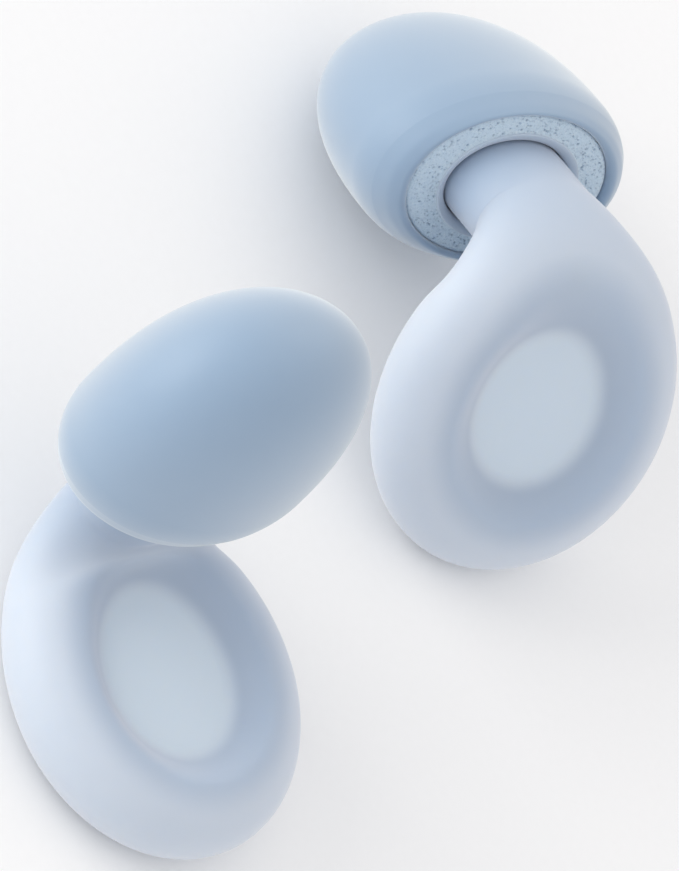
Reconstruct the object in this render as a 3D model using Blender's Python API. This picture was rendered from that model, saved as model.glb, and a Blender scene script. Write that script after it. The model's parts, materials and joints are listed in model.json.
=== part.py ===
"""A pair of soft ear plugs for sleep and travel, as they lie on a table.

Each plug is a flat silicone paddle with a dished middle and a bent neck, a stiff core moulded into
that neck, and an oval foam tip pressed onto the core's nozzle: a soft sleeve, a foam filling and a thin
outer skin. The two plugs are one design. The left plug lies on its back with its tip upwards. The
right plug lies face up and leans on its tip's nose and its paddle's far end.

Metres, +Z up, the table at Z = 0 and the middle of the pair's box at X = Y = 0.
"""

import math

import bmesh
import bpy
from mathutils import Euler, Vector

MM = 0.001

# The paddle and neck. Stations run along the spine from the paddle's widest point, which is the plug's
# own origin: X is across, Y towards the neck and +Z out of the outer face, away from the ear.
PADDLE_REACH = 8.5 * MM
PADDLE_HALF_WIDTH = 8.25 * MM
FLARE_LENGTH = 9.9 * MM
FLARE_POWER = 0.61
NECK_HALF_WIDTH = 3.4 * MM
NECK_HALF_DEPTH = 2.45 * MM
NECK_BEND = math.radians(79)
NECK_BEND_START = 5.0 * MM
NECK_BEND_RADIUS = 3.4 * MM
NECK_STRAIGHT = 3.0 * MM

# The rim and the dish. Each face has its dish's edge and its rim's crest, as shares of the way from the
# paddle's middle to its outline: the dish on the ear side is the wider one.
RIM_HALF_HEIGHT = 2.3 * MM
DISH_HALF_HEIGHT = 1.0 * MM
OUTER_FACE = (0.42, 0.60)
EAR_SIDE = (0.45, 0.64)
DISH_WALL_POWER = 0.8
ROUNDING_START = 0.45
REST_LAND_DEPTH = 0.03 * MM

# The tip, measured forward from its mouth: half widths across (X) and in depth (Y).
TIP_HALF_WIDTH = 7.5 * MM
TIP_HALF_DEPTH = 5.1 * MM
TIP_WIDEST = 2.65 * MM
TIP_NOSE_LENGTH = 9.5 * MM
TIP_REAR_LENGTH = 5.0 * MM
NOSE_POWER = 2.35
SKIN_THICKNESS = 0.5 * MM
RIM_ROLL = 0.35 * MM

# The foam's back face, the sleeve that lines it and the neck's end inside the sleeve's mouth.
FOAM_FACE = 0.3 * MM
MOUTH_WALL = 0.6 * MM
SLEEVE_WALL = 0.7 * MM
SLEEVE_LIP_START = 0.1 * MM
NECK_INSERTION = 1.5 * MM
FIT_GAP = 0.05 * MM

# The core: an anchor foot in the paddle, a bent shank, a flange at the neck's end and a barbed nozzle.
FOOT_STATION = 6.2 * MM
FOOT_THICKNESS = 0.8 * MM
FOOT_RADIUS = 1.6 * MM
SHANK_RADIUS = 1.1 * MM
FLANGE_RADIUS = 2.1 * MM
FLANGE_THICKNESS = 0.7 * MM
NOZZLE_RADIUS = 1.5 * MM
NOZZLE_LENGTH = 6.0 * MM
NOZZLE_END_RADIUS = 1.1 * MM
BARB_RADIUS = 1.95 * MM
BARB_START = 1.6 * MM
BARB_PITCH = 1.8 * MM
BARB_COUNT = 2
BORE_RADIUS = BARB_RADIUS + FIT_GAP

# How the plugs lie: the turn of each about X, Y and Z, and where its origin is over the table.
LEFT_TURN = (180.0, 0.0, 256.4)
LEFT_PLACE = (5.9 * MM, -22.2 * MM)
RIGHT_TURN = (44.4, -6.1, 64.4)
RIGHT_PLACE = (3.0 * MM, 4.65 * MM)

PADDLE_SIDES = 32
TIP_SIDES = 28
CORE_SIDES = 20

ARC_LENGTH = NECK_BEND_RADIUS * NECK_BEND
MOUTH_STATION = NECK_BEND_START + ARC_LENGTH + NECK_STRAIGHT
NECK_END = MOUTH_STATION + NECK_INSERTION


def clear_scene():
    for item in list(bpy.data.objects):
        bpy.data.objects.remove(item)


def plain_material(name, colour, roughness):
    material = bpy.data.materials.new(name)
    material.use_nodes = True
    shader = material.node_tree.nodes["Principled BSDF"]
    shader.inputs["Base Color"].default_value = (*colour, 1.0)
    shader.inputs["Roughness"].default_value = roughness
    shader.inputs["Metallic"].default_value = 0.0
    return material


def smoothstep(value):
    share = min(1.0, max(0.0, value))
    return share * share * (3 - 2 * share)


def spread(first, last, count):
    """Evenly spaced values from first to last, both included."""
    return [first + (last - first) * i / (count - 1) for i in range(count)]


def spine(station):
    """The neck's middle at a station, and the outward direction there, square to the spine."""
    turned = min(NECK_BEND, max(0.0, (station - NECK_BEND_START) / NECK_BEND_RADIUS))
    beyond = max(0.0, station - NECK_BEND_START - ARC_LENGTH)
    straight = min(station, NECK_BEND_START)
    y = straight + NECK_BEND_RADIUS * math.sin(turned) + beyond * math.cos(NECK_BEND)
    z = -NECK_BEND_RADIUS * (1 - math.cos(turned)) - beyond * math.sin(NECK_BEND)
    return Vector((0, y, z)), Vector((0, math.sin(turned), math.cos(turned)))


def half_width(station):
    """Half the outline's width: an ellipse at the far end, a flare down to the neck at the other."""
    if station < 0:
        return PADDLE_HALF_WIDTH * math.sqrt(max(0.0, 1 - (station / PADDLE_REACH) ** 2))
    left = max(0.0, 1 - station / FLARE_LENGTH)
    flare = math.sin(math.pi / 2 * left**FLARE_POWER) ** 2
    return NECK_HALF_WIDTH + (PADDLE_HALF_WIDTH - NECK_HALF_WIDTH) * flare


def rim_height(reach, edge, crest):
    """One face's height over the middle plane, from 0 at its middle to 1 at its outline: the dish up to
    its edge, a wall up to the crest, then a round rim."""
    if reach > crest:
        across = (reach - crest) / (1 - crest)
        return RIM_HALF_HEIGHT * math.sqrt(max(0.0, 1 - across**2))
    climb = max(0.0, (reach - edge) / (crest - edge))
    rise = (1 - (1 - climb) ** 2) ** DISH_WALL_POWER
    return DISH_HALF_HEIGHT + (RIM_HALF_HEIGHT - DISH_HALF_HEIGHT) * rise


def paddle_ring(station):
    """One section across the paddle or neck, blended from the rimmed dish into an oval."""
    middle, outward = spine(station)
    along = station / PADDLE_REACH if station < 0 else min(1.0, station / FLARE_LENGTH)
    rounded = smoothstep((along - ROUNDING_START) / (1 - ROUNDING_START))
    half = PADDLE_SIDES // 2
    ring = []
    for i in range(PADDLE_SIDES):
        angle = 2 * math.pi * i / PADDLE_SIDES
        across = math.cos(angle)
        reach = math.sqrt((1 - along**2) * across**2 + along**2)
        height = rim_height(reach, *OUTER_FACE) if i < half else -rim_height(reach, *EAR_SIDE)
        height *= i % half > 0
        depth = (1 - rounded) * height + rounded * NECK_HALF_DEPTH * math.sin(angle)
        ring.append(middle + Vector((half_width(station) * across, 0, 0)) + depth * outward)
    return ring


def spine_ring(station, radius, sides):
    """A round section square to the spine, for the core and the pocket that holds it."""
    middle, outward = spine(station)
    if radius == 0:
        return [middle]
    angles = [2 * math.pi * i / sides for i in range(sides)]
    return [
        middle + radius * math.cos(angle) * Vector((1, 0, 0)) + radius * math.sin(angle) * outward
        for angle in angles
    ]


def oval_ring(across, depth, forward):
    """An oval section of the tip, square to its axis."""
    if across == 0:
        return [Vector((0, 0, forward))]
    angles = [2 * math.pi * i / TIP_SIDES for i in range(TIP_SIDES)]
    return [Vector((across * math.cos(angle), depth * math.sin(angle), forward)) for angle in angles]


def join_rings(bm, one, two):
    """Faces between two rings of as many points. A ring of one point is a pole."""
    for i in range(max(len(one), len(two))):
        following = i + 1
        corners = [
            one[i % len(one)],
            one[following % len(one)],
            two[following % len(two)],
            two[i % len(two)],
        ]
        bm.faces.new(dict.fromkeys(corners))


def loft(name, rings, material):
    """A closed skin over rings of points that starts and ends in a pole."""
    bm = bmesh.new()
    loops = [[bm.verts.new(point) for point in ring] for ring in rings]
    for one, two in zip(loops, loops[1:]):
        join_rings(bm, one, two)
    bmesh.ops.recalc_face_normals(bm, faces=bm.faces)
    mesh = bpy.data.meshes.new(name)
    bm.to_mesh(mesh)
    bm.free()
    mesh.materials.append(material)
    mesh.shade_smooth()
    mesh.set_sharp_from_angle(angle=math.radians(40))
    return mesh


def core_sections(gap):
    """Stations and radii of the core inside the neck, each grown by a gap all round."""
    foot_end = FOOT_STATION + FOOT_THICKNESS
    flange_start = NECK_END - FLANGE_THICKNESS
    sections = [(FOOT_STATION - gap, 0.0)]
    sections += [(FOOT_STATION - gap, FOOT_RADIUS + gap), (foot_end + gap, FOOT_RADIUS + gap)]
    sections += [(s, SHANK_RADIUS + gap) for s in spread(foot_end + gap, flange_start - gap, 9)]
    sections += [(flange_start - gap, FLANGE_RADIUS + gap), (NECK_END, FLANGE_RADIUS + gap)]
    return sections


def paddle_body_mesh(material):
    """The silicone moulding: far end, dish and flare, bent neck, then the pocket for the core."""
    far_half = [-PADDLE_REACH * math.cos(angle) for angle in spread(0, math.pi / 2, 11)]
    near_half = spread(0, NECK_END, 22)
    rings = [[spine(-PADDLE_REACH)[0]]]
    rings += [paddle_ring(station) for station in far_half[1:-1] + near_half]
    pocket = reversed(core_sections(FIT_GAP))
    rings += [spine_ring(station, radius, PADDLE_SIDES) for station, radius in pocket]
    return loft("paddle_body", rings, material)


def stem_core_mesh(material):
    """The stiff core: anchor foot, shank and flange, then the nozzle with its barbs."""
    sections = core_sections(0.0) + [(NECK_END, NOZZLE_RADIUS)]
    for barb in range(BARB_COUNT):
        start = NECK_END + BARB_START + barb * BARB_PITCH
        sections += [(start, NOZZLE_RADIUS), (start, BARB_RADIUS), (start + BARB_PITCH, NOZZLE_RADIUS)]
    end = NECK_END + NOZZLE_LENGTH
    sections += [(end - NOZZLE_END_RADIUS / 2, NOZZLE_RADIUS), (end, NOZZLE_END_RADIUS), (end, 0.0)]
    rings = [spine_ring(station, radius, CORE_SIDES) for station, radius in sections]
    return loft("stem_core", rings, material)


def tip_half_sizes(forward, inset):
    """Half width and half depth of the tip's oval at a distance from its mouth, less an inset."""
    beyond = forward - TIP_WIDEST
    if beyond < 0:
        share = math.sqrt(max(0.0, 1 - (beyond / (TIP_REAR_LENGTH - inset)) ** 2))
    else:
        share = max(0.0, 1 - (beyond / (TIP_NOSE_LENGTH - inset)) ** NOSE_POWER) ** (1 / NOSE_POWER)
    return (TIP_HALF_WIDTH - inset) * share, (TIP_HALF_DEPTH - inset) * share


def egg_rings(inset, back, count):
    """Rings of the tip's egg shape from its nose back to a distance from the mouth."""
    nose = TIP_WIDEST + TIP_NOSE_LENGTH - inset
    rings = [oval_ring(0, 0, nose)]
    for angle in spread(math.pi / 2, 0, count)[1:]:
        forward = TIP_WIDEST + (TIP_NOSE_LENGTH - inset) * math.sin(angle)
        rings.append(oval_ring(*tip_half_sizes(forward, inset), forward))
    for forward in spread(TIP_WIDEST, back, 4)[1:]:
        rings.append(oval_ring(*tip_half_sizes(forward, inset), forward))
    return rings


def tip_skin_mesh(material):
    """The thin outer skin: the egg outside, a rolled rim round the mouth, and the egg inside."""
    outer = tip_half_sizes(RIM_ROLL, 0.0)
    inner = tip_half_sizes(RIM_ROLL, SKIN_THICKNESS)
    roll = []
    for angle in spread(0, math.pi, 6)[1:-1]:
        sizes = [
            (big + small) / 2 + (big - small) / 2 * math.cos(angle) for big, small in zip(outer, inner)
        ]
        roll.append(oval_ring(*sizes, RIM_ROLL * (1 - math.sin(angle))))
    inside = egg_rings(SKIN_THICKNESS, RIM_ROLL, 10)
    return loft("tip_skin", egg_rings(0.0, RIM_ROLL, 13) + roll + inside[::-1], material)


def sleeve_outside(gap):
    """Rows of half width, half depth and distance forward of the sleeve, from its mouth to its end."""
    mouth = (NECK_HALF_WIDTH + MOUTH_WALL + gap, NECK_HALF_DEPTH + MOUTH_WALL + gap)
    tube = BORE_RADIUS + SLEEVE_WALL + gap
    shoulder = NECK_INSERTION + SLEEVE_WALL
    end = NECK_INSERTION + NOZZLE_LENGTH + 2 * SLEEVE_WALL + gap
    return [
        (*mouth, shoulder),
        (tube, tube, shoulder + SLEEVE_WALL),
        (tube, tube, end - SLEEVE_WALL),
        (tube - SLEEVE_WALL, tube - SLEEVE_WALL, end),
        (0, 0, end),
    ]


def tip_foam_mesh(material):
    """The foam filling: the egg inside the skin, a flat back face, and the hole for the sleeve."""
    hole = sleeve_outside(FIT_GAP)
    face_edge = (*hole[0][:2], FOAM_FACE)
    outside = egg_rings(SKIN_THICKNESS + FIT_GAP, FOAM_FACE, 10)
    return loft("tip_foam", outside + [oval_ring(*row) for row in [face_edge] + hole], material)


def tip_sleeve_mesh(material):
    """The soft sleeve: a rounded lip and socket round the neck's end, then a blind bore."""
    outside = sleeve_outside(0.0)
    lip_outer = (NECK_HALF_WIDTH + MOUTH_WALL, NECK_HALF_DEPTH + MOUTH_WALL)
    socket = (NECK_HALF_WIDTH + FIT_GAP, NECK_HALF_DEPTH + FIT_GAP)
    middle = [(outer + inner) / 2 for outer, inner in zip(lip_outer, socket)]
    floor = NECK_INSERTION + FIT_GAP
    bore_end = NECK_INSERTION + NOZZLE_LENGTH + SLEEVE_WALL / 2
    inside = [
        (BORE_RADIUS - SLEEVE_WALL, BORE_RADIUS - SLEEVE_WALL, bore_end),
        (BORE_RADIUS, BORE_RADIUS, bore_end - SLEEVE_WALL),
        (BORE_RADIUS, BORE_RADIUS, floor),
        (*socket, floor),
        (*socket, SLEEVE_LIP_START + RIM_ROLL),
    ]
    lip = [(*middle, SLEEVE_LIP_START), (*lip_outer, SLEEVE_LIP_START + RIM_ROLL)]
    rows = [(0, 0, bore_end)] + inside + lip + outside
    return loft("tip_sleeve", [oval_ring(*row) for row in rows], material)


def empty(name, parent=None):
    holder = bpy.data.objects.new(name, None)
    holder.parent = parent
    bpy.context.scene.collection.objects.link(holder)
    return holder


def place_piece(side, mesh, holder):
    piece = bpy.data.objects.new(f"{side}_{mesh.name}", mesh)
    piece.parent = holder
    bpy.context.scene.collection.objects.link(piece)
    return piece


def cut_rest_land(side, body, plug):
    """Takes a sliver off the crest of the outer face, so that the paddle lies on a flat land."""
    size = 30 * MM
    bpy.ops.mesh.primitive_cube_add(size=size)
    cutter = bpy.context.object
    cutter.name = f"{side}_rest_cutter"
    cutter.location = (0, 0, RIM_HALF_HEIGHT - REST_LAND_DEPTH + size / 2)
    cutter.parent = plug
    cutter.hide_render = True
    cutter.display_type = "WIRE"
    cut = body.modifiers.new("rest_land", "BOOLEAN")
    cut.operation = "DIFFERENCE"
    cut.object = cutter


def build_plug(side, turn, place, body_meshes, tip_meshes):
    """One plug: its empty carries the body pieces, and an empty at the mouth carries the tip."""
    plug = empty(f"{side}_plug")
    plug.rotation_euler = Euler([math.radians(angle) for angle in turn])
    plug.location = (*place, 0)
    tip = empty(f"{side}_tip", plug)
    tip.location = spine(MOUTH_STATION)[0]
    tip.rotation_euler = (-NECK_BEND - math.pi / 2, 0, 0)
    pieces = [place_piece(side, mesh, plug) for mesh in body_meshes]
    cut_rest_land(side, pieces[0], plug)
    return plug, pieces + [place_piece(side, mesh, tip) for mesh in tip_meshes]


def corners_of(pieces):
    """The lowest and highest corner of the pieces, as they are evaluated."""
    bpy.context.view_layer.update()
    graph = bpy.context.evaluated_depsgraph_get()
    points = []
    for piece in pieces:
        evaluated = piece.evaluated_get(graph)
        points += [evaluated.matrix_world @ vertex.co for vertex in evaluated.data.vertices]
    low = Vector([min(point[axis] for point in points) for axis in range(3)])
    high = Vector([max(point[axis] for point in points) for axis in range(3)])
    return low, high


def settle(plugs):
    """Stands each plug on Z = 0 and brings the middle of the pair's box over the origin."""
    for plug, pieces in plugs:
        plug.location.z -= corners_of(pieces)[0].z
    low, high = corners_of([piece for plug, pieces in plugs for piece in pieces])
    for plug, pieces in plugs:
        plug.location.x -= (low.x + high.x) / 2
        plug.location.y -= (low.y + high.y) / 2
    bpy.context.view_layer.update()


def build():
    clear_scene()
    silicone = plain_material("paddle_silicone", (0.55, 0.64, 0.74), 0.55)
    skin_silicone = plain_material("tip_silicone", (0.50, 0.61, 0.73), 0.6)
    sleeve_silicone = plain_material("sleeve_silicone", (0.45, 0.56, 0.70), 0.6)
    foam = plain_material("memory_foam", (0.48, 0.60, 0.70), 0.95)
    core_plastic = plain_material("core_plastic", (0.75, 0.77, 0.80), 0.4)
    body_meshes = [paddle_body_mesh(silicone), stem_core_mesh(core_plastic)]
    tip_meshes = [tip_skin_mesh(skin_silicone), tip_foam_mesh(foam), tip_sleeve_mesh(sleeve_silicone)]
    left = build_plug("left", LEFT_TURN, LEFT_PLACE, body_meshes, tip_meshes)
    right = build_plug("right", RIGHT_TURN, RIGHT_PLACE, body_meshes, tip_meshes)
    settle([left, right])


build()
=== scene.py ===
import json
import math

import bpy
import numpy as np
from mathutils import Matrix, Vector


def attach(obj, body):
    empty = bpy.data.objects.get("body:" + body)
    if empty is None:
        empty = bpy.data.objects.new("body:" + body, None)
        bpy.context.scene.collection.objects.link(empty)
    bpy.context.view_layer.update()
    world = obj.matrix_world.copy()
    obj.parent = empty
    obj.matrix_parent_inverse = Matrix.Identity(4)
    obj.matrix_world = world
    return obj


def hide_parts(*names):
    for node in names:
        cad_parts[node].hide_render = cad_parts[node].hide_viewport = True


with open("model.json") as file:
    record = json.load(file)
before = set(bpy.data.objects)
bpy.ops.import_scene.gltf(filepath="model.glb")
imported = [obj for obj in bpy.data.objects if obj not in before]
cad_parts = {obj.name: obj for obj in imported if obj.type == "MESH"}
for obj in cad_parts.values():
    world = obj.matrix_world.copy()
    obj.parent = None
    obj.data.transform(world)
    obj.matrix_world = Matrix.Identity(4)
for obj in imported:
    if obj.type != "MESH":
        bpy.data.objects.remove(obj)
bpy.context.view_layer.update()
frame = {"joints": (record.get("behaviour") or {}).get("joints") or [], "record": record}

# STEM CORES
# A stiff core is moulded into each paddle's neck: a foot that anchors it, a bent round shank, a flange
# flush with the neck's end, and a barbed nozzle that the tip presses onto. Satin moulded plastic.
MM = 0.001
SIDES = ("left", "right")
NECK_BEND = math.radians(79)
NECK_BEND_START = 5.0
NECK_BEND_RADIUS = 3.4
NECK_STRAIGHT = 3.0
NECK_INSERTION = 1.5
ARC_LENGTH = NECK_BEND_RADIUS * NECK_BEND
MOUTH_STATION = NECK_BEND_START + ARC_LENGTH + NECK_STRAIGHT
NECK_END = MOUTH_STATION + NECK_INSERTION
FIT_GAP = 0.05
FOOT_START, FOOT_END, FOOT_RADIUS = 6.2, 7.0, 1.6
SHANK_RADIUS = 1.1
FLANGE_START, FLANGE_RADIUS = NECK_END - 0.7, 2.1
NOZZLE_RADIUS, NOZZLE_LENGTH, NOZZLE_END_RADIUS = 1.5, 6.0, 1.1
BARB_RADIUS, BARB_START, BARB_PITCH = 1.95, 1.6, 1.8


def plug_axes(side):
    """Where a plug is: its origin, and its X, Y and Z axes as the rows of a matrix. The origin is midway
    between its two dish floors, Z is the outer dish's axis, Y is the tip's axis less its part along Z,
    and X is Y cross Z."""
    mounts = {mount["name"]: mount for mount in frame["record"]["mounts"]}
    outer, inner = mounts[f"{side}_outer_dish"], mounts[f"{side}_ear_side_dish"]
    origin = (np.array(outer["pos_m"]) + np.array(inner["pos_m"])) / 2
    z = np.array(outer["axis"])
    pull = next(joint for joint in frame["joints"] if joint["name"] == f"{side}_tip_pull")
    tip_axis = np.array(pull["axis"]) * (1 if side == "left" else -1)
    y = tip_axis - (tip_axis @ z) * z
    y /= np.linalg.norm(y)
    return origin, np.array([np.cross(y, z), y, z])


def spine(station):
    """The neck's middle line and its outward direction at each station: straight along Y, then an arc
    of a circle that turns down towards -Z, then straight again. Both in the plug's own axes, in mm."""
    turned = np.clip((station - NECK_BEND_START) / NECK_BEND_RADIUS, 0, NECK_BEND)
    beyond = np.maximum(0, station - NECK_BEND_START - ARC_LENGTH)
    straight = np.minimum(station, NECK_BEND_START)
    y = straight + NECK_BEND_RADIUS * np.sin(turned) + beyond * math.cos(NECK_BEND)
    z = -NECK_BEND_RADIUS * (1 - np.cos(turned)) - beyond * math.sin(NECK_BEND)
    middle = np.stack([0 * y, y, z], axis=-1)
    return middle, np.stack([0 * y, np.sin(turned), np.cos(turned)], axis=-1)


def round_the_clock(sides):
    """Evenly spaced angles, once round."""
    return np.arange(sides) * (2 * math.pi / sides)


def along_spine(rows, sides):
    """Ovals carried along the spine: each row is a station, a half width and a half depth."""
    middle, outward = spine(rows[:, 0])
    angles = round_the_clock(sides)
    across = rows[:, 1, None] * np.cos(angles)
    depth = rows[:, 2, None] * np.sin(angles)
    x_axis = np.array([1.0, 0, 0])
    return middle[:, None] + across[..., None] * x_axis + depth[..., None] * outward[:, None]


def eased(corners, step, radius):
    """A profile with its corners rounded off: points every step along it, each then moved to the mean of
    the points within a radius of it. Past its ends the profile goes on turned half round, so they stay."""
    corners = np.array(corners, float)
    lengths = np.linalg.norm(np.diff(corners, axis=0), axis=1)
    reached = np.concatenate([[0], np.cumsum(lengths)])
    count = int(math.ceil(reached[-1] / step)) + 1
    places = np.linspace(0, reached[-1], count)
    points = np.stack([np.interp(places, reached, column) for column in corners.T], axis=1)
    width = max(1, round(radius / step))
    before = 2 * points[0] - points[width:0:-1]
    after = 2 * points[-1] - points[-2 : -2 - width : -1]
    longer = np.concatenate([before, points, after])
    weights = np.hanning(2 * width + 3)[1:-1]
    weights /= weights.sum()
    return np.stack([np.convolve(column, weights, "valid") for column in longer.T], axis=1)


def ring_mesh(name, rings, origin, axes):
    """A closed skin over a grid of points in mm, ring by ring. The first and last ring have shrunk to a
    point, so each becomes one vertex. The faces are turned round if they enclose a negative volume."""
    count, sides = rings.shape[0] - 2, rings.shape[1]
    points = np.concatenate([rings[0, :1], rings[1:-1].reshape(-1, 3), rings[-1, :1]])
    points = origin + points * MM @ axes
    ring, side = np.meshgrid(np.arange(count - 1), np.arange(sides), indexing="ij")
    following = (side + 1) % sides
    quads = np.stack([ring * sides + side, ring * sides + following, (ring + 1) * sides + following,
                      (ring + 1) * sides + side], axis=-1).reshape(-1, 4) + 1
    side = np.arange(sides)
    following = (side + 1) % sides
    first_fan = np.stack([0 * side, following + 1, side + 1], axis=-1)
    base = 1 + (count - 1) * sides
    last_fan = np.stack([base + side, base + following, 0 * side + len(points) - 1], axis=-1)
    fans = np.concatenate([first_fan, last_fan])
    a, b, c = np.moveaxis(points[quads[:, :3]] - origin, 1, 0)
    a2, b2, c2 = np.moveaxis(points[quads[:, [0, 2, 3]]] - origin, 1, 0)
    enclosed = (a * np.cross(b, c)).sum() + (a2 * np.cross(b2, c2)).sum()
    if enclosed < 0:
        quads, fans = quads[:, ::-1], fans[:, ::-1]
    mesh = bpy.data.meshes.new(name)
    mesh.vertices.add(len(points))
    mesh.vertices.foreach_set("co", points.ravel())
    corners = np.concatenate([quads.ravel(), fans.ravel()])
    sizes = np.concatenate([np.full(len(quads), 4), np.full(len(fans), 3)])
    mesh.loops.add(len(corners))
    mesh.loops.foreach_set("vertex_index", corners)
    mesh.polygons.add(len(sizes))
    mesh.polygons.foreach_set("loop_start", np.concatenate([[0], np.cumsum(sizes)[:-1]]))
    mesh.update(calc_edges=True)
    mesh.validate()
    mesh.shade_smooth()
    return mesh


def fit_piece(name, mesh, material, body, node):
    """Makes the piece of that mesh, which rides on a body and stands for a CAD node."""
    mesh.materials.append(material)
    piece = bpy.data.objects.new(name, mesh)
    bpy.context.scene.collection.objects.link(piece)
    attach(piece, body)
    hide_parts(node)
    return piece


class Wire:
    """A material's socket. Arithmetic on it adds Math nodes, and node() adds any other node."""

    def __init__(self, tree, socket=None):
        self.tree = tree
        self.socket = socket

    def node(self, kind, values, output=0, stops=(), **settings):
        """A new node of that kind. Its settings and a ramp's stops come first, then each input's value
        or link. Returns the wire from one of its outputs."""
        made = self.tree.nodes.new(kind)
        for name, setting in settings.items():
            setattr(made, name, setting)
        for index, (place, colour) in enumerate(stops):
            ramp = made.color_ramp.elements
            stop = ramp[index] if index < 2 else ramp.new(place)
            stop.position = place
            stop.color = (*colour, 1)
        for place, value in values.items():
            if isinstance(value, Wire):
                self.tree.links.new(value.socket, made.inputs[place])
            else:
                made.inputs[place].default_value = value
        return Wire(self.tree, made.outputs[output])

    def maths(self, operation, *values, clamp=False):
        inputs = dict(enumerate(values))
        return self.node("ShaderNodeMath", inputs, operation=operation, use_clamp=clamp)

    def __add__(self, other):
        return self.maths("ADD", self, other)

    __radd__ = __add__

    def __sub__(self, other):
        return self.maths("SUBTRACT", self, other)

    def __rsub__(self, other):
        return self.maths("SUBTRACT", other, self)

    def __mul__(self, other):
        return self.maths("MULTIPLY", self, other)

    __rmul__ = __mul__

    def mix(self, low, high):
        """A colour between two, by this wire as the share of the second."""
        inputs = {0: self, 6: low, 7: high}
        return self.node("ShaderNodeMix", inputs, output=2, data_type="RGBA")

    def ramp(self, *stops):
        """This wire's value through a smooth colour ramp."""
        return self.node("ShaderNodeValToRGB", {0: self}, stops=stops)

    def noise(self, size, detail=3.0, roughness=0.5, stretch=(1, 1, 1)):
        """Three-dimensional noise, near 0.5 in the middle, with lumps of about that size in mm."""
        place = self.node("ShaderNodeMapping", {0: self, 3: stretch})
        inputs = {"Vector": place, "Scale": 1 / (size * MM), "Detail": detail, "Roughness": roughness}
        return self.node("ShaderNodeTexNoise", inputs)

    def bump(self, height, distance, strength=1.0):
        """A normal bent by a height field, whose full height is that distance in mm."""
        inputs = {"Strength": strength, "Distance": distance * MM, "Height": height}
        return self.node("ShaderNodeBump", inputs)


def new_finish(name, **constants):
    """A new material: its wire of Object coordinates, and its main shader's inputs, with the given ones
    set as constants."""
    material = bpy.data.materials.new(name)
    material.use_nodes = True
    shader = material.node_tree.nodes["Principled BSDF"]
    for place, value in constants.items():
        shader.inputs[place.replace("_", " ").title().replace("Ior", "IOR")].default_value = value
    place = Wire(material.node_tree).node("ShaderNodeTexCoord", {}, output="Object")
    return material, place, shader.inputs


def connect(place, inputs, **wires):
    """Joins wires to the main shader's inputs of those names."""
    for name, wire in wires.items():
        place.tree.links.new(wire.socket, inputs[name.replace("_", " ").title()])


def core_plastic():
    """Satin moulded plastic: faint flow marks, a fine spark-eroded texture and slightly uneven gloss."""
    material, place, inputs = new_finish(
        "core_plastic", subsurface_weight=0.08, subsurface_radius=(1.0, 0.9, 0.8),
        subsurface_scale=0.4 * MM, ior=1.5)
    flow = place.noise(2.5, detail=4)
    grain = place.noise(0.06, detail=2)
    colour = flow.mix((0.60, 0.64, 0.69, 1), (0.66, 0.69, 0.73, 1))
    connect(place, inputs, base_color=colour, roughness=0.34 + 0.12 * flow,
            normal=place.bump(grain, 0.012, strength=0.5))
    return material


def core_profile():
    """Rows of station, half width and half depth down the core's length: foot, shank, flange, nozzle."""
    corners = [(FOOT_START, 0), (FOOT_START, FOOT_RADIUS), (FOOT_END, FOOT_RADIUS),
               (FOOT_END, SHANK_RADIUS), (FLANGE_START, SHANK_RADIUS), (FLANGE_START, FLANGE_RADIUS),
               (NECK_END, FLANGE_RADIUS), (NECK_END, NOZZLE_RADIUS)]
    for start in (NECK_END + BARB_START, NECK_END + BARB_START + BARB_PITCH):
        corners += [(start, NOZZLE_RADIUS), (start, BARB_RADIUS), (start + BARB_PITCH, NOZZLE_RADIUS)]
    end = NECK_END + NOZZLE_LENGTH
    corners += [(end - NOZZLE_END_RADIUS / 2, NOZZLE_RADIUS), (end, NOZZLE_END_RADIUS), (end, 0)]
    profile = eased(corners, step=0.07, radius=0.14)
    return profile[:, [0, 1, 1]]


plastic = core_plastic()
for side in SIDES:
    rings = along_spine(core_profile(), sides=72)
    core = ring_mesh(f"{side}_core", rings, *plug_axes(side))
    fit_piece(f"{side}_core", core, plastic, f"{side}_paddle", f"{side}_stem_core")

# PADDLES
# Each paddle is one soft silicone moulding over the core: a flat oval with a dished middle on both faces
# and a round rim, which flares into a bent oval neck. Matte, slightly translucent, no seam to be seen.
PADDLE_REACH, PADDLE_HALF_WIDTH = 8.5, 8.25
FLARE_LENGTH, FLARE_POWER = 9.9, 0.61
NECK_HALF_WIDTH, NECK_HALF_DEPTH = 3.4, 2.45
RIM_HALF_HEIGHT, DISH_HALF_HEIGHT = 2.27, 1.0
OUTER_FACE, EAR_SIDE = (0.38, 0.67), (0.41, 0.68)
# Bounds of the painted light on the dish's web and of the painted shade in the ring round it.
WEB_EDGE, RING_END = (0.37, 0.49), (0.62, 0.84)
# How strong the painted shade is in the ring and on the neck under the tip, and where it starts along the
# neck.
RING_SHADE, NECK_SHADE, NECK_SHADE_START = 0.55, 0.9, 5.5
ROUNDING_START = 0.45
EASED_RINGS, EASED_LENGTH = 12, 3.5
NECK_EDGE = 0.5
PADDLE_SIDES = 256
WALL_ANGLE, WALL_SPREAD, WALL_EXTRA = 34, 14, 1.6
# Colours of the painted light on the web and of the painted shade on the ring and the neck.
PAINTED_LIGHT_COLOUR, PAINTED_SHADE_COLOUR = (0.60, 0.69, 0.775), (0.29, 0.385, 0.52)


def smooth_share(value):
    """A share that rises from 0 to 1 and is level at both ends: 3v squared less 2v cubed."""
    share = np.clip(value, 0, 1)
    return share * share * (3 - 2 * share)


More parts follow.
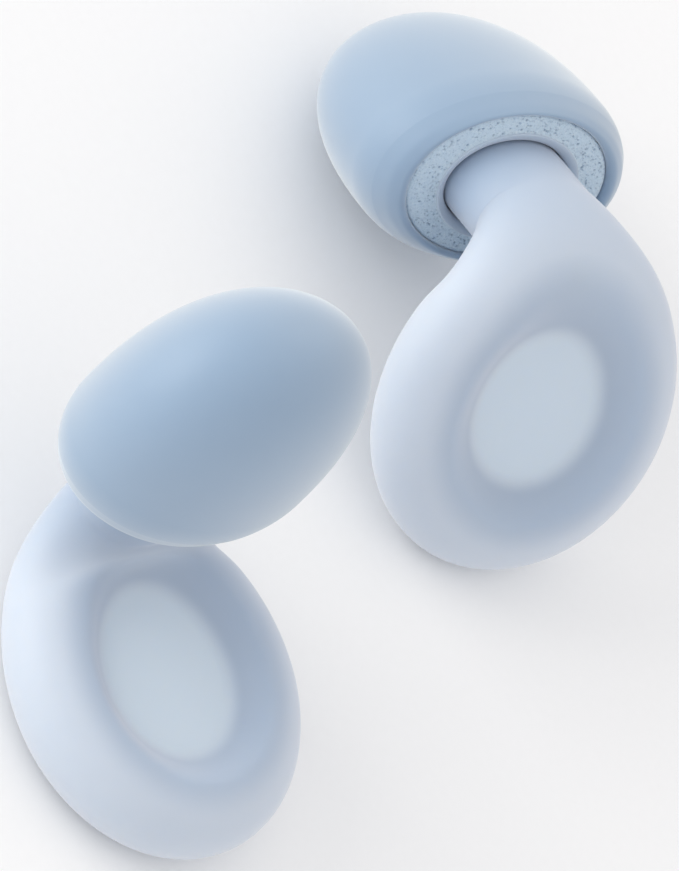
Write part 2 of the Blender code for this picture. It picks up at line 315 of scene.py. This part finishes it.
def rim_height(reach, edge, crest):
    """One face's height over the middle plane, from 0 at its middle to 1 at its outline: a level web, a
    wall that rises as a smooth share between the web's edge and the crest, and a quarter of an ellipse."""
    climb = smooth_share((reach - edge) / (crest - edge))
    dish = DISH_HALF_HEIGHT + (RIM_HALF_HEIGHT - DISH_HALF_HEIGHT) * climb
    beyond = np.clip((reach - crest) / (1 - crest), 0, 1)
    return np.where(reach > crest, RIM_HALF_HEIGHT * np.sqrt(1 - beyond**2), dish)


def paddle_angles():
    """Angles once round a section, closer together where they cross the dish's walls, at about
    WALL_ANGLE degrees from its middle."""
    fine = np.linspace(0, 2 * math.pi, 7201)
    apart = np.abs((np.degrees(fine) % 180) - 90)
    closeness = 1 + WALL_EXTRA * np.exp(-(((apart - WALL_ANGLE) / WALL_SPREAD) ** 2))
    packed = np.concatenate([[0], np.cumsum(closeness)[:-1]])
    return np.interp(np.arange(PADDLE_SIDES) / PADDLE_SIDES, packed / packed[-1], fine)


def eased_rings(rings, shares):
    """Moves each ring, by its share, to the weighted mean of the rings near it, so that no line is left
    where the bend begins."""
    weights = np.hanning(2 * EASED_RINGS + 3)[1:-1]
    weights /= weights.sum()
    longer = np.pad(rings, ((EASED_RINGS, EASED_RINGS), (0, 0), (0, 0)), mode="edge")
    mean = sum(weight * longer[start : start + len(rings)] for start, weight in enumerate(weights))
    return rings + shares[:, None, None] * (mean - rings)


def pocket_profile():
    """Rows of station, half width and half depth, from the neck's rounded end into the core's pocket."""
    gap = FIT_GAP
    neck = (NECK_HALF_WIDTH, NECK_HALF_DEPTH)
    flange, shank, foot = FLANGE_RADIUS + gap, SHANK_RADIUS + gap, FOOT_RADIUS + gap
    corners = [(NECK_END - NECK_EDGE, *neck), (NECK_END, *neck), (NECK_END, flange, flange),
               (FLANGE_START - gap, flange, flange), (FLANGE_START - gap, shank, shank),
               (FOOT_END + gap, shank, shank), (FOOT_END + gap, foot, foot),
               (FOOT_START - gap, foot, foot), (FOOT_START - gap, 0, 0)]
    return eased(corners, step=0.12, radius=0.12)[1:]


def paddle_rings():
    """The moulding's sections: a rim and dish by the share of the way to the outline, which blend into
    the neck's oval, then the pocket. Also, for each point, the share of painted light, which paints the
    dish's web paler as if light shone through it, and the share of painted shade, which paints the ring
    round the web and the neck under the tip darker."""
    far = -PADDLE_REACH * np.cos(np.linspace(0, math.pi / 2, 120))
    near = np.linspace(0, NECK_END - NECK_EDGE, 131)[1:]
    station = np.concatenate([far, near])
    angles = paddle_angles()
    left = np.clip(1 - station / FLARE_LENGTH, 0, 1)
    flare = np.sin(math.pi / 2 * left**FLARE_POWER) ** 2
    near_width = NECK_HALF_WIDTH + (PADDLE_HALF_WIDTH - NECK_HALF_WIDTH) * flare
    far_width = PADDLE_HALF_WIDTH * np.sqrt(np.clip(1 - (station / PADDLE_REACH) ** 2, 0, 1))
    width = np.where(station < 0, far_width, near_width)
    along = np.where(station < 0, station / PADDLE_REACH, np.minimum(1, station / FLARE_LENGTH))[:, None]
    reach = np.sqrt((1 - along**2) * np.cos(angles) ** 2 + along**2)
    outward_side = np.sin(angles) >= 0
    outer, ear_side = rim_height(reach, *OUTER_FACE), rim_height(reach, *EAR_SIDE)
    height = np.where(outward_side, outer, -ear_side) * (np.sin(angles) != 0)
    rounded = smooth_share((along - ROUNDING_START) / (1 - ROUNDING_START))
    depth = (1 - rounded) * height + rounded * NECK_HALF_DEPTH * np.sin(angles)
    middle, outward = spine(station)
    x_axis = np.array([1.0, 0, 0])
    across = (width[:, None] * np.cos(angles))[..., None] * x_axis
    outside = middle[:, None] + across + depth[..., None] * outward[:, None]
    outside = eased_rings(outside, smooth_share(1 - np.abs(station - NECK_BEND_START) / EASED_LENGTH))
    pocket = pocket_profile()
    middle, outward = spine(pocket[:, 0])
    across = (pocket[:, 1, None] * np.cos(angles))[..., None] * x_axis
    depth = pocket[:, 2, None] * np.sin(angles)
    inside = middle[:, None] + across + depth[..., None] * outward[:, None]
    # Painted light: the web is painted paler, for light shining through it. Painted shade: the ring round
    # the web and the neck under the tip are painted darker.
    reach = reach - np.where(outward_side, 0, EAR_SIDE[0] - OUTER_FACE[0])
    web = 1 - smooth_share((reach - WEB_EDGE[0]) / (WEB_EDGE[1] - WEB_EDGE[0]))
    ring = (1 - web) * (1 - smooth_share((reach - RING_END[0]) / (RING_END[1] - RING_END[0])))
    neck = smooth_share((station - NECK_SHADE_START) / (MOUTH_STATION - NECK_SHADE_START))[:, None]
    painted_light = web * (1 - rounded)
    painted_shade = np.maximum(RING_SHADE * ring * (1 - rounded), NECK_SHADE * neck)
    hidden = np.zeros(inside.shape[:2])
    rings = np.concatenate([outside, inside])
    return rings, np.concatenate([painted_light, hidden]), np.concatenate([painted_shade, hidden])


def mark(mesh, name, values):
    """Stores one value a point, ring by ring, as an attribute of a ring mesh."""
    values = np.concatenate([values[0, :1], values[1:-1].ravel(), values[-1, :1]])
    mesh.attributes.new(name, "FLOAT", "POINT").data.foreach_set("value", values.astype(np.float32))


def soft_silicone(name, pale, deep, roughness, depth=0.2, haze=0.5, tint=(1.0, 0.96, 0.97)):
    """Matte soft-touch silicone: light sinks about a millimetre in, the colour drifts a little over the
    piece, the points marked for painted light are painted paler and those marked for painted shade are
    painted darker, and a fine satin grain with a few moulding ripples breaks up what gloss there is."""
    material, place, inputs = new_finish(
        name, subsurface_weight=depth, subsurface_radius=(0.8, 0.95, 1.1), subsurface_scale=1.5 * MM,
        ior=1.41, specular_ior_level=0.5, sheen_weight=haze, sheen_roughness=0.55,
        sheen_tint=(*tint, 1))
    painted_light = place.node("ShaderNodeAttribute", {}, output="Fac", attribute_name="painted_light")
    painted_shade = place.node("ShaderNodeAttribute", {}, output="Fac", attribute_name="painted_shade")
    drift = place.noise(6.0, detail=3)
    cloud = place.noise(0.9, detail=4, roughness=0.6)
    grain = place.noise(0.045, detail=2)
    ripple = place.noise(1.6, detail=2)
    share = (drift * 0.7 + cloud * 0.3 - 0.5) * 1.6 + 0.5
    body = share.mix((*deep, 1), (*pale, 1))
    # Painted shade darkens the colour and painted light makes it paler; only the paddles carry these
    # marks.
    shaded = painted_shade.mix(body, (*PAINTED_SHADE_COLOUR, 1))
    connect(place, inputs, base_color=painted_light.mix(shaded, (*PAINTED_LIGHT_COLOUR, 1)),
            roughness=roughness + 0.10 * (cloud - 0.5) + 0.08 * (grain - 0.5),
            normal=place.bump(0.7 * grain + 2.0 * ripple, 0.006, strength=0.4))
    return material


paddle_silicone = soft_silicone(
    "paddle_silicone", (0.56, 0.62, 0.705), (0.53, 0.595, 0.685), 0.55, depth=0.6, haze=0.4)
rings, painted_light, painted_shade = paddle_rings()
for side in SIDES:
    body = f"{side}_paddle"
    paddle = ring_mesh(body, rings, *plug_axes(side))
    # Marks where the paddle is painted with light and where with shade.
    mark(paddle, "painted_light", painted_light)
    mark(paddle, "painted_shade", painted_shade)
    fit_piece(body, paddle, paddle_silicone, body, f"{side}_paddle_body")

# TIP SLEEVES
# Each tip is lined with a soft silicone sleeve: a rounded lip and a shallow socket for the neck's end,
# then a blind bore that grips the nozzle's barbs. Smoother and a little deeper than the paddle.
MOUTH_WALL, SLEEVE_WALL = 0.6, 0.7
LIP_START, LIP_SLOPE, LIP_EDGE, FUNNEL_DEPTH = 0.1, 0.30, 0.35, 0.15
BORE_RADIUS = BARB_RADIUS + FIT_GAP
LIP_HALF_WIDTH, LIP_HALF_DEPTH = NECK_HALF_WIDTH + MOUTH_WALL, NECK_HALF_DEPTH + MOUTH_WALL


def tip_place(side):
    """Where a tip is: its origin at the middle of its mouth, and its axes, with Z forward to its nose."""
    origin, axes = plug_axes(side)
    mouth, outward = spine(np.array(MOUTH_STATION))
    forward = np.array([0, math.cos(NECK_BEND), -math.sin(NECK_BEND)])
    return origin + mouth * MM @ axes, np.array([[1.0, 0, 0], -outward, forward]) @ axes


def tip_rings(rows, sides):
    """Ovals square to the tip's axis: each row is a half width, a half depth and a distance forward."""
    angles = round_the_clock(sides)
    across = rows[:, 0, None] * np.cos(angles)
    depth = rows[:, 1, None] * np.sin(angles)
    return np.stack([across, depth, np.broadcast_to(rows[:, 2, None], across.shape)], axis=-1)


def sleeve_outside(gap):
    """Corners of the sleeve's outside from its mouth forward, grown by a gap."""
    tube = BORE_RADIUS + SLEEVE_WALL + gap
    shoulder = NECK_INSERTION + SLEEVE_WALL
    end = NECK_INSERTION + NOZZLE_LENGTH + 2 * SLEEVE_WALL + gap
    return [(LIP_HALF_WIDTH + gap, LIP_HALF_DEPTH + gap, shoulder), (tube, tube, shoulder + SLEEVE_WALL),
            (tube, tube, end - SLEEVE_WALL), (tube - SLEEVE_WALL, tube - SLEEVE_WALL, end), (0, 0, end)]


def sleeve_profile():
    """The whole sleeve from the bore's blind end, out over the socket and the lip, which slopes inward
    as a funnel, and back outside."""
    socket = (NECK_HALF_WIDTH + FIT_GAP, NECK_HALF_DEPTH + FIT_GAP)
    floor = NECK_INSERTION + FIT_GAP
    bore_end = NECK_INSERTION + NOZZLE_LENGTH + SLEEVE_WALL / 2
    inside = [(0, 0, bore_end), (BORE_RADIUS - SLEEVE_WALL, BORE_RADIUS - SLEEVE_WALL, bore_end),
              (BORE_RADIUS, BORE_RADIUS, bore_end - SLEEVE_WALL), (BORE_RADIUS, BORE_RADIUS, floor),
              (*socket, floor), (*socket, LIP_START + LIP_SLOPE + FUNNEL_DEPTH)]
    outer = (LIP_HALF_WIDTH, LIP_HALF_DEPTH)
    lip = []
    for share in (0.15, 0.5, 0.8, 1.0):
        half_width, half_depth = [a + share * (b - a) for a, b in zip(socket, outer)]
        lip.append((half_width, half_depth, LIP_START + LIP_SLOPE * (1 - share) ** 2))
    lip.append((*outer, LIP_START + LIP_EDGE))
    return eased(inside + lip + sleeve_outside(0), step=0.05, radius=0.15)


sleeve_silicone = soft_silicone("sleeve_silicone", (0.50, 0.60, 0.72), (0.47, 0.57, 0.70), 0.50)
for side in SIDES:
    sleeve = ring_mesh(f"{side}_sleeve", tip_rings(sleeve_profile(), 192), *tip_place(side))
    fit_piece(f"{side}_sleeve", sleeve, sleeve_silicone, f"{side}_tip", f"{side}_tip_sleeve")

# FOAM FILLINGS
# Slow-recovery foam fills each tip between the sleeve and the skin and shows only as a pale blue speckled
# ring at the mouth. Its back face is the skin of the pour, so it is open here and there in small pits.
TIP_HALF_WIDTH, TIP_HALF_DEPTH = 7.5, 5.1
TIP_WIDEST, TIP_NOSE_LENGTH, TIP_REAR_LENGTH = 2.65, 9.5, 5.0
NOSE_POWER = 2.35
SKIN_THICKNESS = 0.5
EGG_BACK = 1.1
FACE_HALF_WIDTH, FACE_HALF_DEPTH = 5.68, 4.06
FOAM_FACE, FACE_CROWN, FACE_CORNER = 0.3, 0.06, 0.25
EDGE_SAG, EDGE_SAG_WIDTH, LIP_RISE, LIP_RISE_WIDTH = 0.30, 0.04, 0.12, 0.10
FACE_ROWS, FOAM_SIDES = 66, 700
PIT_COUNT, PIT_DEPTH, PIT_FULL_SIZE = 900, 0.12, 0.10
PIT_LEAST, PIT_SPREAD = 0.024, 0.09
PRESS, FOAM_SHOULDER = 0.04, 0.75
WAVE_COUNT, WAVE_SHARE = 6, 0.6


def egg_sizes(forward, inset):
    """Half width and half depth of the tip's egg at a distance forward, less an inset: an ellipse
    behind the widest place, and a blunter power curve in front of it."""
    beyond = forward - TIP_WIDEST
    rear = np.sqrt(np.clip(1 - (beyond / (TIP_REAR_LENGTH - inset)) ** 2, 0, 1))
    ahead = np.clip(1 - np.clip(beyond / (TIP_NOSE_LENGTH - inset), 0, 1) ** NOSE_POWER, 0, 1)
    share = np.where(beyond < 0, rear, ahead ** (1 / NOSE_POWER))
    return (TIP_HALF_WIDTH - inset) * share, (TIP_HALF_DEPTH - inset) * share


def egg_rows(inset, back, nose_rows, rear_rows):
    """Rows down the egg from its nose to a distance from the mouth, closer together at the nose."""
    ahead = TIP_WIDEST + (TIP_NOSE_LENGTH - inset) * np.sin(np.linspace(math.pi / 2, 0, nose_rows))
    forward = np.concatenate([ahead, np.linspace(TIP_WIDEST, back, rear_rows + 1)[1:]])
    return np.stack([*egg_sizes(forward, inset), forward], axis=1)


def face_pits(x, y, edge, inner, random):
    """How deep in a pit each point of the face is. Each pit is a tilted oval bowl, one less the distance
    squared, at a random place between the face's outer and inner edge."""
    where = random.uniform(0, 2 * math.pi, PIT_COUNT)
    across = random.uniform(0.03, 0.97, PIT_COUNT)
    middles = (edge + (inner - edge) * across[:, None]) * np.stack([np.cos(where), np.sin(where)], axis=1)
    radius = PIT_LEAST + PIT_SPREAD * random.beta(1.2, 4.5, PIT_COUNT)
    tilt = random.uniform(0, math.pi, PIT_COUNT)
    squeeze = random.uniform(0.55, 1.0, PIT_COUNT)
    pits = np.zeros_like(x)
    for middle, size, turn, flat in zip(middles, radius, tilt, squeeze):
        dx, dy = x - middle[0], y - middle[1]
        along = (dx * math.cos(turn) + dy * math.sin(turn)) / size
        over = (dy * math.cos(turn) - dx * math.sin(turn)) / (size * flat)
        bowl = np.clip(1 - along**2 - over**2, 0, 1)
        pits = np.maximum(pits, bowl**0.7 * min(1.0, size / PIT_FULL_SIZE))
    return pits


def foam_rings(seed):
    """The foam's sections and, for each point, how deep in a pit it is. The egg and the hole are plain
    ovals. The face between them is crowned by a sine of the way across it, with slow waves round it. It
    falls away in a narrow band at its outer edge and rises a little to meet the sleeve's lip."""
    edge = np.array([FACE_HALF_WIDTH + PRESS, FACE_HALF_DEPTH + PRESS])
    outside = egg_rows(SKIN_THICKNESS + FIT_GAP, EGG_BACK, 22, 6)
    outside = np.concatenate([outside, [(*edge, FOAM_SHOULDER)]])
    hole = sleeve_outside(-PRESS)
    hole = eased([(*hole[0][:2], FOAM_FACE + FACE_CORNER)] + hole, step=0.35, radius=0.3)
    inner = hole[0, :2]
    share = np.linspace(0, 1, FACE_ROWS)
    sizes = edge + (inner - edge) * share[:, None]
    fall = EDGE_SAG * np.exp(-share / EDGE_SAG_WIDTH) - LIP_RISE * np.exp((share - 1) / LIP_RISE_WIDTH)
    face = np.concatenate([sizes, (FOAM_FACE + fall)[:, None]], axis=1)
    rings = tip_rings(np.concatenate([outside, face, hole]), FOAM_SIDES)
    at = slice(len(outside), len(outside) + FACE_ROWS)
    random = np.random.default_rng(seed)
    phase = random.uniform(0, 2 * math.pi, WAVE_COUNT)
    angles = round_the_clock(FOAM_SIDES)
    waves = sum(np.sin((turns + 2) * angles + phase[turns]) for turns in range(WAVE_COUNT)) / WAVE_COUNT
    crown = FACE_CROWN * np.sin(math.pi * share)[:, None] * (1 + WAVE_SHARE * waves)
    depth = np.zeros(rings.shape[:2])
    depth[at] = face_pits(rings[at, :, 0], rings[at, :, 1], edge, inner, random)
    rings[at, :, 2] += PIT_DEPTH * depth[at] - crown
    return rings, depth


def memory_foam():
    """Fine open-celled foam: a pale blue body, with painted shade where a cell is open and a painted
    highlight on the cell walls, and no gloss. The larger pits come from the mesh and carry their depth as
    an attribute, by which shade is painted into them."""
    material, place, inputs = new_finish(
        "memory_foam", subsurface_weight=0.2, subsurface_radius=(0.8, 0.95, 1.1),
        subsurface_scale=0.5 * MM, specular_ior_level=0.2, sheen_weight=0.2,
        sheen_roughness=0.6, sheen_tint=(0.9, 0.93, 1.0, 1))
    pit = place.node("ShaderNodeAttribute", {}, output="Fac", attribute_name="pit")
    patch = place.noise(1.2, detail=3)
    coarse = place.node("ShaderNodeTexVoronoi", {"Vector": place, "Scale": 1 / (0.16 * MM)}, feature="F1")
    fine = place.node("ShaderNodeTexVoronoi", {"Vector": place, "Scale": 1 / (0.09 * MM)}, feature="F1")
    speck = place.noise(0.11, detail=4, roughness=0.7)
    body = patch.mix((0.55, 0.68, 0.80, 1), (0.62, 0.74, 0.84, 1))
    # Painted shade in the open cells and a painted highlight on the cell walls.
    pore_shade = speck.ramp((0.30, (1, 1, 1)), (0.44, (0, 0, 0)))
    wall = speck.ramp((0.54, (0, 0, 0)), (0.70, (1, 1, 1)))
    lit = (wall * 0.7).mix(body, (0.74, 0.82, 0.89, 1))
    dark = (pore_shade * 0.7).mix(lit, (0.25, 0.37, 0.52, 1))
    # Painted shade in the pits, darker where a pit is deeper.
    deep = (pit * 0.8).mix(dark, (0.16, 0.25, 0.38, 1))
    height = coarse * 0.6 + fine * 0.4 + speck * 0.8
    connect(place, inputs, base_color=deep, roughness=0.86 + 0.12 * speck,
            normal=place.bump(height, 0.05, strength=0.6))
    return material


foam = memory_foam()
for side, seed in zip(SIDES, (11, 12)):
    rings, pit = foam_rings(seed)
    filling = ring_mesh(f"{side}_foam", rings, *tip_place(side))
    mark(filling, "pit", pit)
    piece = fit_piece(f"{side}_foam", filling, foam, f"{side}_tip", f"{side}_tip_foam")

# TIP SKINS
# A thin silicone skin, cast as one seamless egg, is bonded over the foam and turns in round the mouth to
# a soft rounded edge on the foam's face. The same matte silicone as the paddle, deeper in colour.
RIM_START = 1.15
SHOULDER_PLACE, SHOULDER_INSET = 0.42, 0.02
EDGE_WIDTH, EDGE_DEPTH = 0.42, 0.22
TURN_IN_START, TURN_IN_END = 0.12, 0.78


def skin_profile():
    """Rows of the egg outside from its nose, a turned-in edge with rounded corners, and the egg inside."""
    start = (*egg_sizes(np.array(RIM_START), 0.0), RIM_START)
    shoulder = (*egg_sizes(np.array(SHOULDER_PLACE), SHOULDER_INSET), SHOULDER_PLACE)
    edge = (FACE_HALF_WIDTH + EDGE_WIDTH, FACE_HALF_DEPTH + EDGE_DEPTH, 0.0)
    turned_in = [(FACE_HALF_WIDTH, FACE_HALF_DEPTH, place) for place in (TURN_IN_START, TURN_IN_END)]
    inner_start = (*egg_sizes(np.array(EGG_BACK), SKIN_THICKNESS), EGG_BACK)
    turned = eased([start, shoulder, edge, *turned_in, inner_start], step=0.05, radius=0.38)
    inside = egg_rows(SKIN_THICKNESS, EGG_BACK, 30, 8)[::-1]
    return np.concatenate([egg_rows(0.0, RIM_START, 130, 30), turned[1:-1], inside])


tip_silicone = soft_silicone(
    "tip_silicone", (0.265, 0.37, 0.505), (0.245, 0.35, 0.49), 0.48, haze=0.75, tint=(1.0, 1.0, 0.97))
for side in SIDES:
    skin = ring_mesh(f"{side}_skin", tip_rings(skin_profile(), 256), *tip_place(side))
    fit_piece(f"{side}_skin", skin, tip_silicone, f"{side}_tip", f"{side}_tip_skin")

# FLOOR
# A plain pale table top, much larger than the plugs, which isn't part of them.
FLOOR_SIDE = 6.0


def pale_paper():
    """Even, near-white matte paper with a trace of tooth."""
    material, place, inputs = new_finish("pale_paper", specular_ior_level=0.1)
    tooth = place.noise(0.5, detail=3)
    connect(place, inputs, base_color=tooth.mix((0.93, 0.93, 0.935, 1), (0.95, 0.95, 0.955, 1)),
            roughness=0.9 + 0.05 * tooth)
    return material


half = FLOOR_SIDE / 2
sheet_mesh = bpy.data.meshes.new("floor")
sheet_mesh.from_pydata([(-half, -half, 0), (half, -half, 0), (half, half, 0), (-half, half, 0)], [],
                       [(0, 1, 2, 3)])
sheet_mesh.materials.append(pale_paper())
floor = bpy.data.objects.new("floor", sheet_mesh)
bpy.context.scene.collection.objects.link(floor)

# LIGHT
# A bright even studio: a white surround and a broad soft panel low on one side.
LIGHT_AIM = (0.0011, 0.0058, 0.0)


def soft_panel(name, towards, distance, size, power, colour):
    """A square panel of light that faces the plugs from a direction. The camera doesn't see it."""
    lamp = bpy.data.lights.new(name, "AREA")
    lamp.shape = "SQUARE"
    lamp.size = size
    lamp.energy = power
    lamp.color = colour
    panel = bpy.data.objects.new(name, lamp)
    back = np.array(towards) / np.linalg.norm(towards)
    panel.location = np.array(LIGHT_AIM) + distance * back
    panel.rotation_euler = Vector(back).to_track_quat("Z", "Y").to_euler()
    panel.visible_camera = False
    bpy.context.scene.collection.objects.link(panel)


world = bpy.data.worlds.new("studio")
world.use_nodes = True
surround = world.node_tree.nodes["Background"].inputs
surround["Color"].default_value = (1.0, 0.995, 1.0, 1)
surround["Strength"].default_value = 0.90
bpy.context.scene.world = world
soft_panel("side_panel", (-0.82, -0.54, 0.18), 0.55, 0.45, 2.5, (1.0, 0.97, 0.91))
bpy.context.scene.view_settings.view_transform = "Standard"

# CAMERA
# A long lens, well above the table and rolled, so that the plugs stand as they are known.
CAMERA_ELEVATION = math.radians(44.32)
CAMERA_ROLL = math.radians(-60.72)
CAMERA_DISTANCE = 0.626
CAMERA_AIM = (0.00113, 0.00579, -0.00037)
LENS, SENSOR = 537, 36

lens = bpy.data.cameras.new("camera")
lens.lens = LENS
lens.sensor_width = SENSOR
lens.sensor_fit = "AUTO"
lens.clip_start = 0.05
lens.clip_end = 20
camera = bpy.data.objects.new("camera", lens)
turn = Matrix.Rotation(math.pi / 2 - CAMERA_ELEVATION, 4, "X") @ Matrix.Rotation(-CAMERA_ROLL, 4, "Z")
back = turn.to_3x3() @ Vector((0, 0, 1))
camera.matrix_world = Matrix.Translation(Vector(CAMERA_AIM) + CAMERA_DISTANCE * back) @ turn
bpy.context.scene.collection.objects.link(camera)
bpy.context.scene.camera = camera
